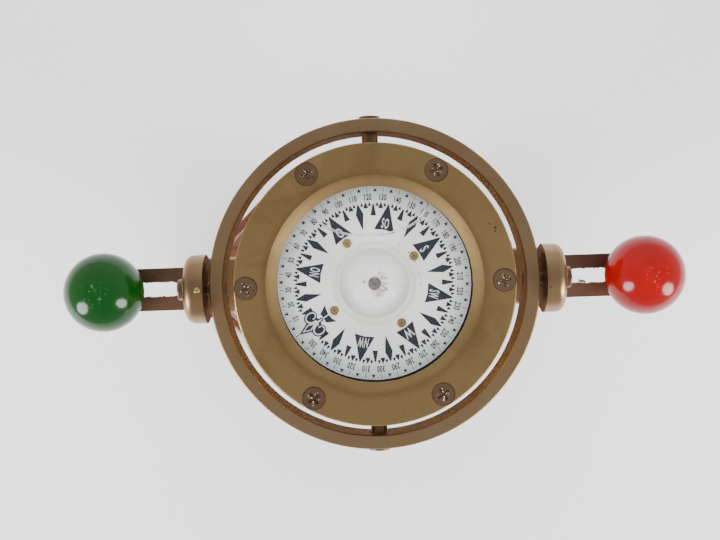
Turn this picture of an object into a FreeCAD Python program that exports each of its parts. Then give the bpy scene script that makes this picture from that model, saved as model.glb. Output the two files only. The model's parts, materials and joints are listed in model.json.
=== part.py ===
import FreeCAD, Part
import math
import os

# Binnacle compass: a liquid-filled compass bowl hung in a gimbal ring, in a U-shaped yoke on a turned
# column and a wooden board, with one soft-iron corrector ball on a slotted arm at each side.
# Millimetres. +Z is up, +X points to the right-hand ball, and Z = 0 is the underside of the rubber pad.

V = FreeCAD.Vector
X_AXIS, Y_AXIS, Z_AXIS = V(1, 0, 0), V(0, 1, 0), V(0, 0, 1)
SIDES = {"left": -1, "right": 1}
ENDS = {"front": -1, "back": 1}

# Clearances
running = 0.05          # play between pieces that turn or slide on each other
thread_gap = 0.03       # radial play of a screw in its tapped hole
seat_gap = 0.3          # radial play of a pane, seal or plate that lies in a recess
reach = 1.0             # how far a cutting bar runs past the face that it cuts
hole_gap = 0.2          # radial play of a rod or screw in a plain hole

# Compass card and float
card_r = 50.0
card_thick = 0.5
card_drop = 6.0         # pivot axis down to the top of the card
card_hole_r = 17.0
north_turn = 122.7      # heading of the stored card, counter-clockwise from +Y
dome_base_r = 18.5
dome_height = 11.0
dome_skin = 0.8
float_flange_r = 20.8
float_tube_r = 4.1
float_tube_wall = 0.8
card_screw_circle = 24.8
card_screw_r = 1.25
card_screw_head_r = 2.45
card_screw_head = 1.1
card_screw_slot = 0.7
carrier_thick = 1.0
carrier_r_out = 28.0
magnet_r = 2.5
magnet_skin = 0.7
magnet_length = 60.0
magnet_offset = 14.0    # each magnet's distance from the card's north-south line
saddle_width = 8.6
saddle_roof = 0.5       # metal left between a magnet's tube and the plate above it
cap_neck_r = 2.6
cap_neck_length = 3.6
cap_knob_r = 3.4
cap_knob_height = 1.3
cap_slot = 0.9
jewel_r = 1.5
jewel_thick = 1.5
jewel_dimple = 0.6

# Bowl, glass and bezel
card_gap = 2.0          # edge of the card to the wall of the bowl
bowl_wall = 4.0
bowl_depth = 38.0       # pivot axis down to the floor inside
bowl_floor = 4.0
bowl_corner_r = 12.0
floor_opening_r = 30.0
flange_width = 14.0
flange_thick = 4.0
flange_top = 12.0       # above the pivot axis
ledge_width = 3.0
ledge_drop = 2.0        # flange top down to the ledge of the lower seal
seal_thick = 1.0
glass_thick = 3.0
bezel_thick = 6.0
bezel_lap = 1.5         # how far the bezel covers the edge of the card
bevel_width = 5.4
bevel_drop = 2.2
bezel_screw_count = 6
bezel_screw_r = 3.0
bezel_screw_head_r = 5.65
bezel_screw_edge = 0.55  # head to the rim of the bezel
bezel_screw_lip = 0.4   # upright edge of the head above its cone
bezel_edge = 0.8
recess_width = 1.3
recess_length = 6.4
recess_depth = 1.9
recess_turns = (12, 47, 80, 25, 63, 5)

# Bottom of the bowl
diaphragm_thick = 0.8
wave_lift = 1.0         # corrugations of the diaphragm
gasket_thick = 0.6
cover_rim = 3.0
cover_wall = 3.0
cover_floor = 2.0
cup_r = 34.0
cup_depth = 11.6        # gasket down to the floor inside the cup
cup_corner_r = 4.0
bottom_screw_count = 6
vent_r = 2.0
weight_thick = 7.0
weight_bore_r = 12.0
small_screw_r = 1.5
small_screw_head_r = 2.75
small_screw_head = 2.0
small_screw_slot = 0.8
bottom_screw_circle = 39.5
bridge_width = 12.0
bridge_thick = 3.0
bridge_screw_circle = 34.0
stem_r = 2.5
point_r = 0.9
point_length = 5.0

# Filler plug in the wall of the bowl
filler_turn = -38.0
filler_drop = 12.0
filler_boss_r = 8.0
filler_boss = 3.5
filler_r = 4.0
filler_flats = 11.0
filler_head = 4.0
washer_thick = 1.0

# Gimbal ring and its bearings
swing_gap = 3.72        # bowl to ring as the bowl turns right over
ring_wall = 7.0
ring_height = 20.0
ring_edge = 0.8
bush_wall = 1.4
bowl_post_r = 4.2
bowl_post_head_r = 5.45
bowl_post_head = 1.5
bowl_post_gap = 0.3     # ring to head
bowl_post_slot = 1.3
bowl_thread_r = 3.0
bowl_thread_length = 9.0
lug_r = 9.0
lug_length = 10.0       # beyond the wall of the bowl
journal_r = 3.0
trunnion_r = 4.0
trunnion_head_r = 5.4
trunnion_head = 4.3
trunnion_slot = 1.4

# Yoke
yoke_gap = 2.3          # ring to yoke
yoke_thick = 6.0
yoke_width = 32.0
yoke_straight = 32.0    # straight part below the pivot axis
yoke_edge = 1.5
boss_r = 17.5
boss_length = 4.4       # beyond the outer face of the yoke
boss_round = 4.5
lock_r = 1.5            # headless screw that locks the left trunnion screw
lock_length = 9.0
lock_inset = 2.6        # inner face of the yoke to the lock screw
hub_r = 20.0
hub_drop = 8.0          # below the lowest point of the strap
hub_pad_r = 13.0
hub_pad = 2.0

# Corrector arms and balls
arm_thick = 4.0
arm_width = 22.4
arm_below_boss = 0.5
arm_lug = 16.0          # height of the bent-down lug
arm_bend = 2.0
slot_width = 7.7
slot_start = 6.7        # outer face of the boss to the slot
slot_length = 38.6
arm_end = 8.0           # slot to the end of the arm
arm_tip_flat = 3.0      # straight middle of the arm's rounded end
arm_screw_r = 2.0
arm_screw_head_r = 3.6
arm_screw_head = 2.6
arm_screw_slot = 1.0
arm_screw_pitch = 12.0
ball_r = 20.0
ball_flat_r = 6.0
ball_hole_depth = 12.0
collar_r = 7.0
collar_thick = 2.0
stud_r = 3.0
ball_washer_r = 8.0
ball_washer = 1.5
ball_nut_flats = 10.0
ball_nut = 5.0
stud_tail = 2.0

# Column, rod and board
pad_thick = 2.0
pad_inset = 5.0
board_half_x = 108.0
board_half_y = 58.0
board_shift = -4.5      # middle of the board from the column, along X
board_cut = 37.0
board_corner_r = 10.0
board_lower = 12.0
board_upper = 14.0
board_step = 6.0
board_round = 7.0
column_height = 65.0
foot_r = 38.0
foot_thick = 6.0
foot_neck_r = 27.0
waist_r = 12.0
bead_r = 17.0
rod_r = 5.0
rod_washer_r = 14.0
rod_washer = 2.0
rod_nut_flats = 17.0
rod_nut = 8.0
well_r = 17.0
well_depth = 14.0
cap_nut_flats = 17.0
cap_nut_hex = 6.0
wood_screw_circle = 31.5
wood_screw_r = 2.2
wood_screw_head_r = 4.4
wood_screw_length = 22.0

# Radii that follow from each other, from the card outwards
bowl_r = card_r + card_gap
bowl_out_r = bowl_r + bowl_wall
flange_r = bowl_out_r + flange_width
glass_r = bowl_r + ledge_width
bezel_open_r = card_r - bezel_lap
bezel_screw_circle = flange_r - bezel_screw_head_r - bezel_screw_edge
bowl_base_r = bowl_out_r - bowl_corner_r
ring_in_r = math.hypot(flange_r, flange_top + bezel_thick) + swing_gap
ring_r = ring_in_r + ring_wall
yoke_in = ring_r + yoke_gap
yoke_out = yoke_in + yoke_thick
boss_face = yoke_out + boss_length
slot_in = boss_face + slot_start
slot_out = slot_in + slot_length
ball_x = slot_out - slot_width / 2
lug_face = bowl_out_r + lug_length

# Heights
board_top = pad_thick + board_lower + board_upper
column_top = board_top + column_height
pivot_z = column_top + hub_drop + yoke_out + yoke_straight
strap_top = pivot_z - yoke_straight - yoke_in
arm_top = pivot_z - boss_r - arm_below_boss
ball_z = arm_top + running + collar_thick + math.sqrt(ball_r ** 2 - ball_flat_r ** 2)
card_top = pivot_z - card_drop
card_under = card_top - card_thick
bezel_base = pivot_z + flange_top
bezel_top = bezel_base + bezel_thick
ledge_z = bezel_base - ledge_drop
glass_z = ledge_z + seal_thick
glass_top = glass_z + glass_thick
floor_z = pivot_z - bowl_depth
floor_under = floor_z - bowl_floor
gasket_z = floor_under - diaphragm_thick
cover_top = gasket_z - gasket_thick
cup_floor = cover_top - cup_depth
dome_sphere_r = (dome_base_r ** 2 + dome_height ** 2) / (2 * dome_height)
dome_centre = card_top + dome_height - dome_sphere_r


def save(name, *solids):
    """Writes one node; pieces of the same kind that repeat are separate solids of one node."""
    shape = solids[0] if len(solids) == 1 else Part.makeCompound(list(solids))
    shape.exportStep("parts/" + name + ".step")


def rod(radius, start, end):
    """Round bar between two points."""
    return Part.makeCylinder(radius, (end - start).Length, start, end - start)


def disc(radius, bottom, top):
    """Round bar on the central axis."""
    return rod(radius, V(0, 0, bottom), V(0, 0, top))


def tube(inner, outer, bottom, top):
    """Ring on the central axis."""
    return disc(outer, bottom, top).cut(disc(inner, bottom, top))


def hexagon(flats, start, end):
    """Hexagonal bar between two points."""
    corner_r = flats / math.sqrt(3)
    angles = [math.radians(60 * k) for k in range(7)]
    outline = Part.makePolygon([V(corner_r * math.cos(a), corner_r * math.sin(a), 0) for a in angles])
    bar = Part.Face(outline).extrude(V(0, 0, (end - start).Length))
    bar.Placement = FreeCAD.Placement(start, FreeCAD.Rotation(Z_AXIS, end - start))
    return bar


def turned(start, *steps):
    """Solid turned about the central axis. A step (r, z) is a line and (rm, zm, r, z) an arc."""
    edges, here = [], V(start[0], 0, start[1])
    for step in steps + (start,):
        there = V(step[-2], 0, step[-1])
        if len(step) == 4:
            edges.append(Part.Arc(here, V(step[0], 0, step[1]), there).toShape())
        else:
            edges.append(Part.LineSegment(here, there).toShape())
        here = there
    return Part.Face(Part.Wire(edges)).revolve(V(0, 0, 0), Z_AXIS, 360)


def corner(centre_r, centre_z, radius, degrees):
    """Point on a corner's arc, used as the arc's middle."""
    angle = math.radians(degrees)
    return centre_r + radius * math.cos(angle), centre_z + radius * math.sin(angle)


def spun(solid, degrees, centre=V(0, 0, 0)):
    """Copy turned about a vertical line."""
    copy = solid.copy()
    copy.rotate(centre, Z_AXIS, degrees)
    return copy


def around(solid, count, first=0.0):
    """Copies spaced evenly about the central axis."""
    return [spun(solid, first + 360.0 * k / count) for k in range(count)]


def slot_cut(width, length, depth, top):
    """Screwdriver slot on the central axis, open upwards."""
    return Part.makeBox(length, width, depth, V(-length / 2, -width / 2, top - depth))


def laid(solid, origin, direction):
    """Solid built along +Z from the origin, moved to start at a point and run in a direction."""
    copy = solid.copy()
    copy.Placement = FreeCAD.Placement(origin, FreeCAD.Rotation(Z_AXIS, direction)) * copy.Placement
    return copy


# ---------------------------------------------------------------- base and column

def board_outline(inset, bottom, height):
    """Long octagon with rounded corners."""
    hx, hy = board_half_x - inset, board_half_y - inset
    cut = board_cut - inset * (2 - math.sqrt(2))
    corners = [(hx, hy - cut), (hx - cut, hy), (cut - hx, hy), (-hx, hy - cut),
               (-hx, cut - hy), (cut - hx, -hy), (hx - cut, -hy), (hx, cut - hy)]
    points = [V(x, y, bottom) for x, y in corners]
    slab = Part.Face(Part.makePolygon(points + points[:1])).extrude(V(0, 0, height))
    upright = [edge for edge in slab.Edges if abs(edge.tangentAt(edge.FirstParameter).z) > 0.9]
    slab = slab.makeFillet(board_corner_r - inset / 2, upright)
    return slab.translated(V(board_shift, 0, 0))


def edges_at(solid, height):
    """Edges that lie flat at one height."""
    return [e for e in solid.Edges if abs(e.BoundBox.ZMin - height) < 0.01 > abs(e.BoundBox.ZMax - height)]


def make_wood_screw():
    """Countersunk wood screw in the foot of the column, upright on the central axis."""
    top = board_top + foot_thick
    cone = wood_screw_head_r - wood_screw_r
    shank_end = top - wood_screw_length
    return turned((0, top), (wood_screw_head_r, top), (wood_screw_r, top - cone),
                  (wood_screw_r, shank_end + 2 * wood_screw_r), (0, shank_end))


def make_base(wood_screws):
    save("base_pad", board_outline(pad_inset, 0, pad_thick))
    lower = board_outline(0, pad_thick, board_lower)
    lower = lower.makeFillet(board_round / 4, edges_at(lower, pad_thick + board_lower))
    upper = board_outline(board_step, pad_thick + board_lower, board_upper)
    upper = upper.makeFillet(board_round, edges_at(upper, board_top))
    board = lower.fuse(upper).removeSplitter()
    board = board.cut(disc(well_r, pad_thick, pad_thick + well_depth))
    board = board.cut(disc(rod_r + hole_gap, pad_thick, board_top))
    save("base_board", board.cut(wood_screws))


def make_column(wood_screws):
    foot_top = board_top + foot_thick
    bead_z = column_top - 17
    waist_z = bead_z - 15
    bore = rod_r + hole_gap
    cavetto = corner(foot_neck_r, waist_z, foot_neck_r - waist_r, 218)
    column = turned((bore, board_top), (foot_r, board_top), (foot_r, foot_top - 2),
                    (foot_r - 0.6, foot_top - 0.6, foot_r - 2, foot_top),
                    (foot_neck_r, foot_top), (*cavetto, waist_r, waist_z),
                    (waist_r, bead_z - 5), (bead_r - 2, bead_z - 3.5),
                    (bead_r, bead_z, bead_r - 2, bead_z + 3.5), (waist_r + 1, bead_z + 5),
                    (waist_r + 1, column_top - 9),
                    (waist_r + 3, column_top - 6, hub_r, column_top - 5),
                    (hub_r, column_top), (bore, column_top))
    save("column", column.cut(wood_screws))


def make_tie_rod():
    well_top = pad_thick + well_depth
    washer_z = well_top - rod_washer
    nut_z = washer_z - rod_nut
    pad_top = strap_top + hub_pad
    save("tie_rod", disc(rod_r, nut_z - 1, pad_top + cap_nut_hex + 3))
    save("tie_rod_washer", tube(rod_r + hole_gap, rod_washer_r, washer_z, well_top))
    nut = hexagon(rod_nut_flats, V(0, 0, nut_z), V(0, 0, washer_z))
    save("tie_rod_nut", nut.cut(disc(rod_r + thread_gap, nut_z, washer_z)))
    hex_top = pad_top + cap_nut_hex
    dome_r = cap_nut_flats / 2 - 0.8
    cap = hexagon(cap_nut_flats, V(0, 0, pad_top), V(0, 0, hex_top))
    dome = Part.makeSphere(dome_r, V(0, 0, hex_top)).common(disc(dome_r, hex_top, hex_top + dome_r))
    cap = cap.fuse(dome)
    save("yoke_cap_nut", cap.cut(disc(rod_r + thread_gap, pad_top, hex_top + 3)))


# ---------------------------------------------------------------- yoke, arms and balls

def u_face(half_gap):
    """Outline of a U in the XZ plane, closed at the height of the pivot axis."""
    turn_z = pivot_z - yoke_straight
    left, right = V(-half_gap, 0, turn_z), V(half_gap, 0, turn_z)
    top_left, top_right = V(-half_gap, 0, pivot_z), V(half_gap, 0, pivot_z)
    edges = [Part.LineSegment(top_left, left).toShape(),
             Part.Arc(left, V(0, 0, turn_z - half_gap), right).toShape(),
             Part.LineSegment(right, top_right).toShape(),
             Part.LineSegment(top_right, top_left).toShape()]
    return Part.Face(Part.Wire(edges))


def make_lock_screw():
    """Slotted headless screw, let into the top of the left boss, and the hole that it sits in."""
    top = pivot_z + boss_r + 0.2
    spot = V(-yoke_in - lock_inset, 0, 0)
    screw = disc(lock_r, top - lock_length, top)
    screw = screw.makeFillet(0.3, edges_at(screw, top)).cut(slot_cut(0.5, 4 * lock_r, 0.7, top))
    save("lock_screw", screw.translated(spot))
    return disc(lock_r + thread_gap, top - lock_length, top).translated(spot)


def make_yoke(arm_screws, lock_hole):
    width = V(0, yoke_width, 0)
    strap = u_face(yoke_out).cut(u_face(yoke_in)).extrude(width)
    strap.translate(-width / 2)
    long_edges = [e for e in strap.Edges if abs(abs(e.BoundBox.YMin) - yoke_width / 2) < 0.01
                  and e.BoundBox.YLength < 0.01 and e.Length > 2 * yoke_thick]
    strap = strap.makeFillet(yoke_edge, long_edges)
    for side in SIDES.values():
        boss = rod(boss_r, V(side * yoke_in, 0, pivot_z), V(side * boss_face, 0, pivot_z))
        rim = [e for e in boss.Edges if abs(e.BoundBox.XMin - side * boss_face) < 0.01
               and e.BoundBox.XLength < 0.01]
        strap = strap.fuse(boss.makeFillet(boss_round, rim))
    hub = disc(hub_r, column_top, strap_top - yoke_thick / 2)
    hub_inside = disc(hub_pad_r, strap_top - yoke_thick / 2, strap_top + hub_pad)
    yoke = strap.fuse([hub, hub_inside]).removeSplitter()
    yoke = yoke.cut(disc(rod_r + hole_gap, column_top, strap_top + hub_pad))
    for side in SIDES.values():
        bore = rod(trunnion_r + thread_gap, V(side * yoke_in, 0, pivot_z), V(side * boss_face, 0, pivot_z))
        yoke = yoke.cut(bore)
    save("yoke", yoke.cut(arm_screws + [lock_hole]))


def make_trunnion(side):
    """Pivot screw of the gimbal ring: slotted head, thread in the boss, journal in the ring."""
    head = disc(trunnion_head_r, 0, trunnion_head)
    head = head.makeFillet(0.8, edges_at(head, trunnion_head))
    head = head.cut(spun(slot_cut(trunnion_slot, 4 * trunnion_head_r, 1.8, trunnion_head), 90))
    thread = disc(trunnion_r, yoke_in - boss_face, 0)
    journal = disc(journal_r, ring_in_r - boss_face + 0.2, yoke_in - boss_face)
    screw = head.fuse([thread, journal])
    return laid(screw, V(side * boss_face, 0, pivot_z), X_AXIS * side)


def make_arm_screws(side):
    """Pan-head screws through the lug of an arm into the yoke."""
    screws = []
    for y in (-arm_screw_pitch / 2, arm_screw_pitch / 2):
        head = disc(arm_screw_head_r, 0, arm_screw_head)
        head = head.makeFillet(1.0, edges_at(head, arm_screw_head))
        head = head.cut(slot_cut(arm_screw_slot, 3 * arm_screw_head_r, 1.2, arm_screw_head))
        screw = head.fuse(disc(arm_screw_r, -arm_thick - yoke_thick + 1, 0))
        spot = V(side * (yoke_out + arm_thick), y, arm_top - arm_thick / 2 - arm_lug / 2)
        screws.append(laid(screw, spot, X_AXIS * side))
    return screws


def make_arm(side, screws):
    """Slotted flat bar with a lug bent down against the yoke."""
    end = slot_out + arm_end
    corner_point = V(yoke_out, -arm_width / 2, arm_top - arm_thick)
    flat = Part.makeBox(end - yoke_out, arm_width, arm_thick, corner_point)
    lug = Part.makeBox(arm_thick, arm_width, arm_lug, V(yoke_out, -arm_width / 2, arm_top - arm_lug))
    bent = flat.fuse(lug).removeSplitter()

    def along_y(x, z):
        return [e for e in bent.Edges if e.BoundBox.YLength > arm_width - 0.1
                and abs(e.BoundBox.XMin - x) < 0.01 and abs(e.BoundBox.ZMin - z) < 0.01]
    bent = bent.makeFillet(arm_bend, along_y(yoke_out + arm_thick, arm_top - arm_thick))
    tips = [e for e in bent.Edges if e.BoundBox.ZLength > arm_thick - 0.1
            and abs(e.BoundBox.XMin - end) < 0.01]
    bent = bent.makeFillet((arm_width - arm_tip_flat) / 2, tips)
    half = slot_width / 2
    slot = Part.makeBox(slot_length - slot_width, slot_width, arm_thick,
                        V(slot_in + half, -half, arm_top - arm_thick))
    for x in (slot_in + half, slot_out - half):
        slot = slot.fuse(rod(half, V(x, 0, arm_top - arm_thick), V(x, 0, arm_top)))
    bar = bent.cut(slot)
    if side < 0:
        bar.rotate(V(0, 0, 0), Z_AXIS, 180)
    return bar.cut(screws)


def make_ball(name, side):
    """Corrector ball clamped on its arm by a stud, a washer and a nut."""
    spot = V(side * ball_x, 0, 0)

    def put(node, solid):
        save(node + "_" + name, solid.translated(spot))
    collar_z = arm_top + running
    flat_z = collar_z + collar_thick
    under_arm = arm_top - arm_thick - running
    washer_z = under_arm - ball_washer
    nut_z = washer_z - ball_nut
    hole_top = flat_z + ball_hole_depth
    stud_hole = disc(stud_r + thread_gap, nut_z - stud_tail, hole_top)
    ball = Part.makeSphere(ball_r, V(0, 0, ball_z)).cut(disc(ball_r, ball_z - 2 * ball_r, flat_z))
    put("corrector_ball", ball.cut(stud_hole))
    put("ball_collar", disc(collar_r, collar_z, flat_z).cut(stud_hole))
    put("ball_stud", disc(stud_r, nut_z - stud_tail, hole_top - 1))
    put("ball_washer", disc(ball_washer_r, washer_z, under_arm).cut(stud_hole))
    put("ball_nut", hexagon(ball_nut_flats, V(0, 0, nut_z), V(0, 0, washer_z)).cut(stud_hole))


# ---------------------------------------------------------------- gimbal ring

def make_ring():
    blank = tube(ring_in_r, ring_r, pivot_z - ring_height / 2, pivot_z + ring_height / 2)
    rims = edges_at(blank, pivot_z + ring_height / 2) + edges_at(blank, pivot_z - ring_height / 2)
    ring = blank.makeFillet(ring_edge, rims)
    bearings = (("ring_side_bushes", X_AXIS, journal_r), ("ring_end_bushes", Y_AXIS, bowl_post_r))
    for name, axis, pin_r in bearings:
        bushes = []
        for sign in (-1, 1):
            start = V(0, 0, pivot_z) + axis * (sign * (ring_in_r - reach))
            end = V(0, 0, pivot_z) + axis * (sign * (ring_r + reach))
            outer = rod(pin_r + running + bush_wall, start, end)
            bushes.append(outer.cut(rod(pin_r + running, start, end)).common(blank))
            ring = ring.cut(outer)
        save(name, *bushes)
    save("gimbal_ring", ring)


# ---------------------------------------------------------------- bowl

def make_bezel_screw(turn):
    """Countersunk screw with a cross recess, upright on the central axis."""
    cone = bezel_screw_head_r - bezel_screw_r
    lip_z = bezel_top - bezel_screw_lip
    screw = turned((0, bezel_top), (bezel_screw_head_r, bezel_top), (bezel_screw_head_r, lip_z),
                   (bezel_screw_r, lip_z - cone),
                   (bezel_screw_r, bezel_base - flange_thick), (0, bezel_base - flange_thick))
    bar = slot_cut(recess_width, recess_length, recess_depth, bezel_top)
    return screw.cut([spun(bar, turn), spun(bar, turn + 90)])


def bezel_screw_hole():
    """Space of a bezel screw, with its play in the tapped flange."""
    cone = bezel_screw_head_r - bezel_screw_r
    lip_z = bezel_top - bezel_screw_lip
    tapped = bezel_screw_r + thread_gap
    return turned((0, bezel_top), (bezel_screw_head_r, bezel_top), (bezel_screw_head_r, lip_z),
                  (tapped, lip_z - cone + thread_gap),
                  (tapped, bezel_base - flange_thick), (0, bezel_base - flange_thick))


def make_glass_and_bezel():
    spot = V(bezel_screw_circle, 0, 0)
    holes = around(bezel_screw_hole().translated(spot), bezel_screw_count)
    screws = []
    for k, turn in enumerate(recess_turns):
        screws.append(spun(make_bezel_screw(turn).translated(spot), 360.0 * k / bezel_screw_count))
    save("bezel_screws", *screws)
    seal_top = glass_top + seal_thick
    bevel_r = bezel_open_r + bevel_width
    edge_r, edge_z = flange_r - bezel_edge, bezel_top - bezel_edge
    bezel = turned((glass_r, bezel_base), (flange_r, bezel_base), (flange_r, edge_z),
                   (*corner(edge_r, edge_z, bezel_edge, 45), edge_r, bezel_top),
                   (bevel_r, bezel_top), (bezel_open_r, bezel_top - bevel_drop),
                   (bezel_open_r, seal_top), (glass_r, seal_top))
    save("bezel_ring", bezel.cut(holes))
    save("top_glass", disc(glass_r - seat_gap, glass_z, glass_top))
    save("glass_seal_upper", tube(bezel_open_r + seat_gap, glass_r - seat_gap, glass_top, seal_top))
    save("glass_seal_lower", tube(bowl_r, glass_r - seat_gap, ledge_z, glass_z))
    return holes


def make_small_screw(length):
    """Slotted cheese-head screw, head down, shank up from the origin."""
    head = disc(small_screw_head_r, -small_screw_head, 0)
    depth = small_screw_head / 2
    slot = slot_cut(small_screw_slot, 3 * small_screw_head_r, depth, depth - small_screw_head)
    return head.cut(slot).fuse(disc(small_screw_r, 0, length))


def make_bottom():
    """Diaphragm, gasket, cover, balance weight and their screws under the floor of the bowl."""
    grip = bowl_floor - 1 + diaphragm_thick + gasket_thick + cover_rim
    spot = V(bottom_screw_circle, 0, cover_top - cover_rim)
    screws = around(make_small_screw(grip).translated(spot), bottom_screw_count)
    shank_hole = disc(small_screw_r + thread_gap, 0, grip).translated(spot)
    shank_holes = around(shank_hole, bottom_screw_count)
    save("bottom_screws", *screws)
    wave = floor_opening_r / 5
    upper, lower = [], []
    for k in range(1, 5):
        lift = wave_lift if k % 2 else -wave_lift
        upper.append((wave * k, floor_under + lift, wave * (k + 0.5), floor_under))
        lower.insert(0, (wave * k, gasket_z + lift, wave * (k - 0.5), gasket_z))
    flat_r = bowl_base_r - seat_gap
    diaphragm = turned((0, gasket_z), (0, floor_under), (wave / 2, floor_under), *upper,
                       (flat_r, floor_under), (flat_r, gasket_z), (wave * 4.5, gasket_z), *lower)
    save("diaphragm", diaphragm.cut(shank_holes))
    save("diaphragm_gasket", tube(floor_opening_r, flat_r, cover_top, gasket_z).cut(shank_holes))
    cup_in = cup_r - cover_wall
    cup_under = cup_floor - cover_floor
    cover = turned((cup_in, cover_top), (bowl_base_r, cover_top), (bowl_base_r, cover_top - cover_rim),
                   (cup_r, cover_top - cover_rim), (cup_r, cup_under + cup_corner_r),
                   (*corner(cup_r - cup_corner_r, cup_under + cup_corner_r, cup_corner_r, -45),
                    cup_r - cup_corner_r, cup_under),
                   (vent_r, cup_under), (vent_r, cup_floor), (cup_in, cup_floor))
    save("bottom_cover", cover.cut(shank_holes))
    save("balance_weight", tube(weight_bore_r, cup_in - seat_gap, cup_floor, cup_floor + weight_thick))
    return shank_holes


def make_pivot():
    """Bridge on the floor of the bowl, with the stem and the hard point that carry the card."""
    bridge_top = floor_z + bridge_thick
    half = bridge_screw_circle + 4
    bridge = Part.makeBox(bridge_width, 2 * half, bridge_thick, V(-bridge_width / 2, -half, floor_z))
    spigot_r = stem_r - 0.7
    screws, holes = [], []
    for sign in (-1, 1):
        spot = V(0, sign * bridge_screw_circle, bridge_top)
        screw = make_small_screw(bridge_thick + bowl_floor - 1)
        screws.append(laid(screw, spot, Z_AXIS * -1))
        holes.append(rod(small_screw_r + thread_gap, spot, spot - V(0, 0, bridge_thick + bowl_floor - 1)))
    save("bridge_screws", *screws)
    save("pivot_bridge", bridge.cut(disc(spigot_r + thread_gap, floor_z, bridge_top)).cut(holes))
    tip_z = jewel_bottom() + jewel_dimple - running
    stem_top = tip_z - point_length + 2
    stem = disc(stem_r, bridge_top, stem_top).fuse(disc(spigot_r, floor_z, bridge_top))
    point_foot = tip_z - point_length
    point = turned((0, tip_z), (point_r, tip_z - 2), (point_r, point_foot), (0, point_foot))
    save("pivot_stem", stem.cut(disc(point_r + thread_gap, point_foot, stem_top)))
    save("pivot_point", point)
    return holes


def make_filler():
    """Filler plug and washer on a boss in the wall of the bowl; returns the boss and its hole."""
    angle = math.radians(filler_turn)
    out = V(math.cos(angle), math.sin(angle), 0)
    centre = V(0, 0, pivot_z - filler_drop)

    def at(radius):
        return centre + out * radius
    face = bowl_out_r + filler_boss
    boss = rod(filler_boss_r, at(bowl_out_r - bowl_wall / 3), at(face))
    hole = rod(filler_r + thread_gap, at(bowl_r - 1), at(face))
    seat = face + washer_thick
    washer = rod(filler_boss_r - 1, at(face), at(seat))
    save("filler_washer", washer.cut(rod(filler_r + thread_gap, at(face), at(seat))))
    head = hexagon(filler_flats, at(seat), at(seat + filler_head))
    save("filler_plug", head.fuse(rod(filler_r, at(bowl_out_r - bowl_wall + 0.5), at(seat))))
    return boss, hole


def make_bowl(bezel_holes, floor_holes, filler):
    """Bowl body with its lugs, and the flange ring that is soldered round its rim."""
    boss, filler_hole = filler
    inner_corner = bowl_corner_r - bowl_wall
    knee_z = floor_under + bowl_corner_r
    body = turned((bowl_r, ledge_z), (bowl_out_r, ledge_z), (bowl_out_r, knee_z),
                  (*corner(bowl_base_r, knee_z, bowl_corner_r, -45), bowl_base_r, floor_under),
                  (floor_opening_r, floor_under), (floor_opening_r, floor_z),
                  (bowl_r - inner_corner, floor_z),
                  (*corner(bowl_r - inner_corner, floor_z + inner_corner, inner_corner, -45),
                   bowl_r, floor_z + inner_corner))
    body = body.fuse(boss)
    for end in ENDS.values():
        lug = rod(lug_r, V(0, end * (bowl_out_r - bowl_wall / 2), pivot_z), V(0, end * lug_face, pivot_z))
        body = body.fuse(lug)
    flange_z = bezel_base - flange_thick
    body = body.cut(tube(bowl_out_r, flange_r, flange_z, ledge_z))
    for end in ENDS.values():
        tapped = rod(bowl_thread_r + thread_gap, V(0, end * (lug_face - bowl_thread_length - 1), pivot_z),
                     V(0, end * lug_face, pivot_z))
        body = body.cut(tapped)
    save("bowl_body", body.cut(floor_holes + [filler_hole]))
    flange = turned((bowl_out_r, flange_z), (flange_r, flange_z), (flange_r, bezel_base),
                    (glass_r, bezel_base), (glass_r, ledge_z), (bowl_out_r, ledge_z))
    save("bowl_flange", flange.cut(bezel_holes))


def make_bowl_trunnion(name, end):
    """Shoulder screw through the ring into a lug of the bowl."""
    head_z = ring_r + bowl_post_gap
    head = disc(bowl_post_head_r, head_z, head_z + bowl_post_head)
    head = head.makeFillet(0.4, edges_at(head, head_z + bowl_post_head))
    slot = slot_cut(bowl_post_slot, 4 * bowl_post_head_r, bowl_post_head / 2, head_z + bowl_post_head)
    head = head.cut(slot)
    post = disc(bowl_post_r, lug_face, head_z)
    thread = disc(bowl_thread_r, lug_face - bowl_thread_length, lug_face)
    save("bowl_trunnion_" + name, laid(head.fuse([post, thread]), V(0, 0, pivot_z), Y_AXIS * end))


# ---------------------------------------------------------------- compass card

def sphere_height(radius, r):
    """Height of the dome's sphere above the dome's base plane, at a distance from the axis."""
    return dome_centre + math.sqrt(radius ** 2 - r ** 2)


def cap_seat():
    """Height at which the pivot cap rests on the rim of the dome's hole."""
    return sphere_height(dome_sphere_r, cap_neck_r + thread_gap)


def jewel_bottom():
    return cap_seat() - dome_skin - cap_neck_length


def save_card(node, *solids):
    save(node, *[spun(solid, north_turn) for solid in solids])


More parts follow.
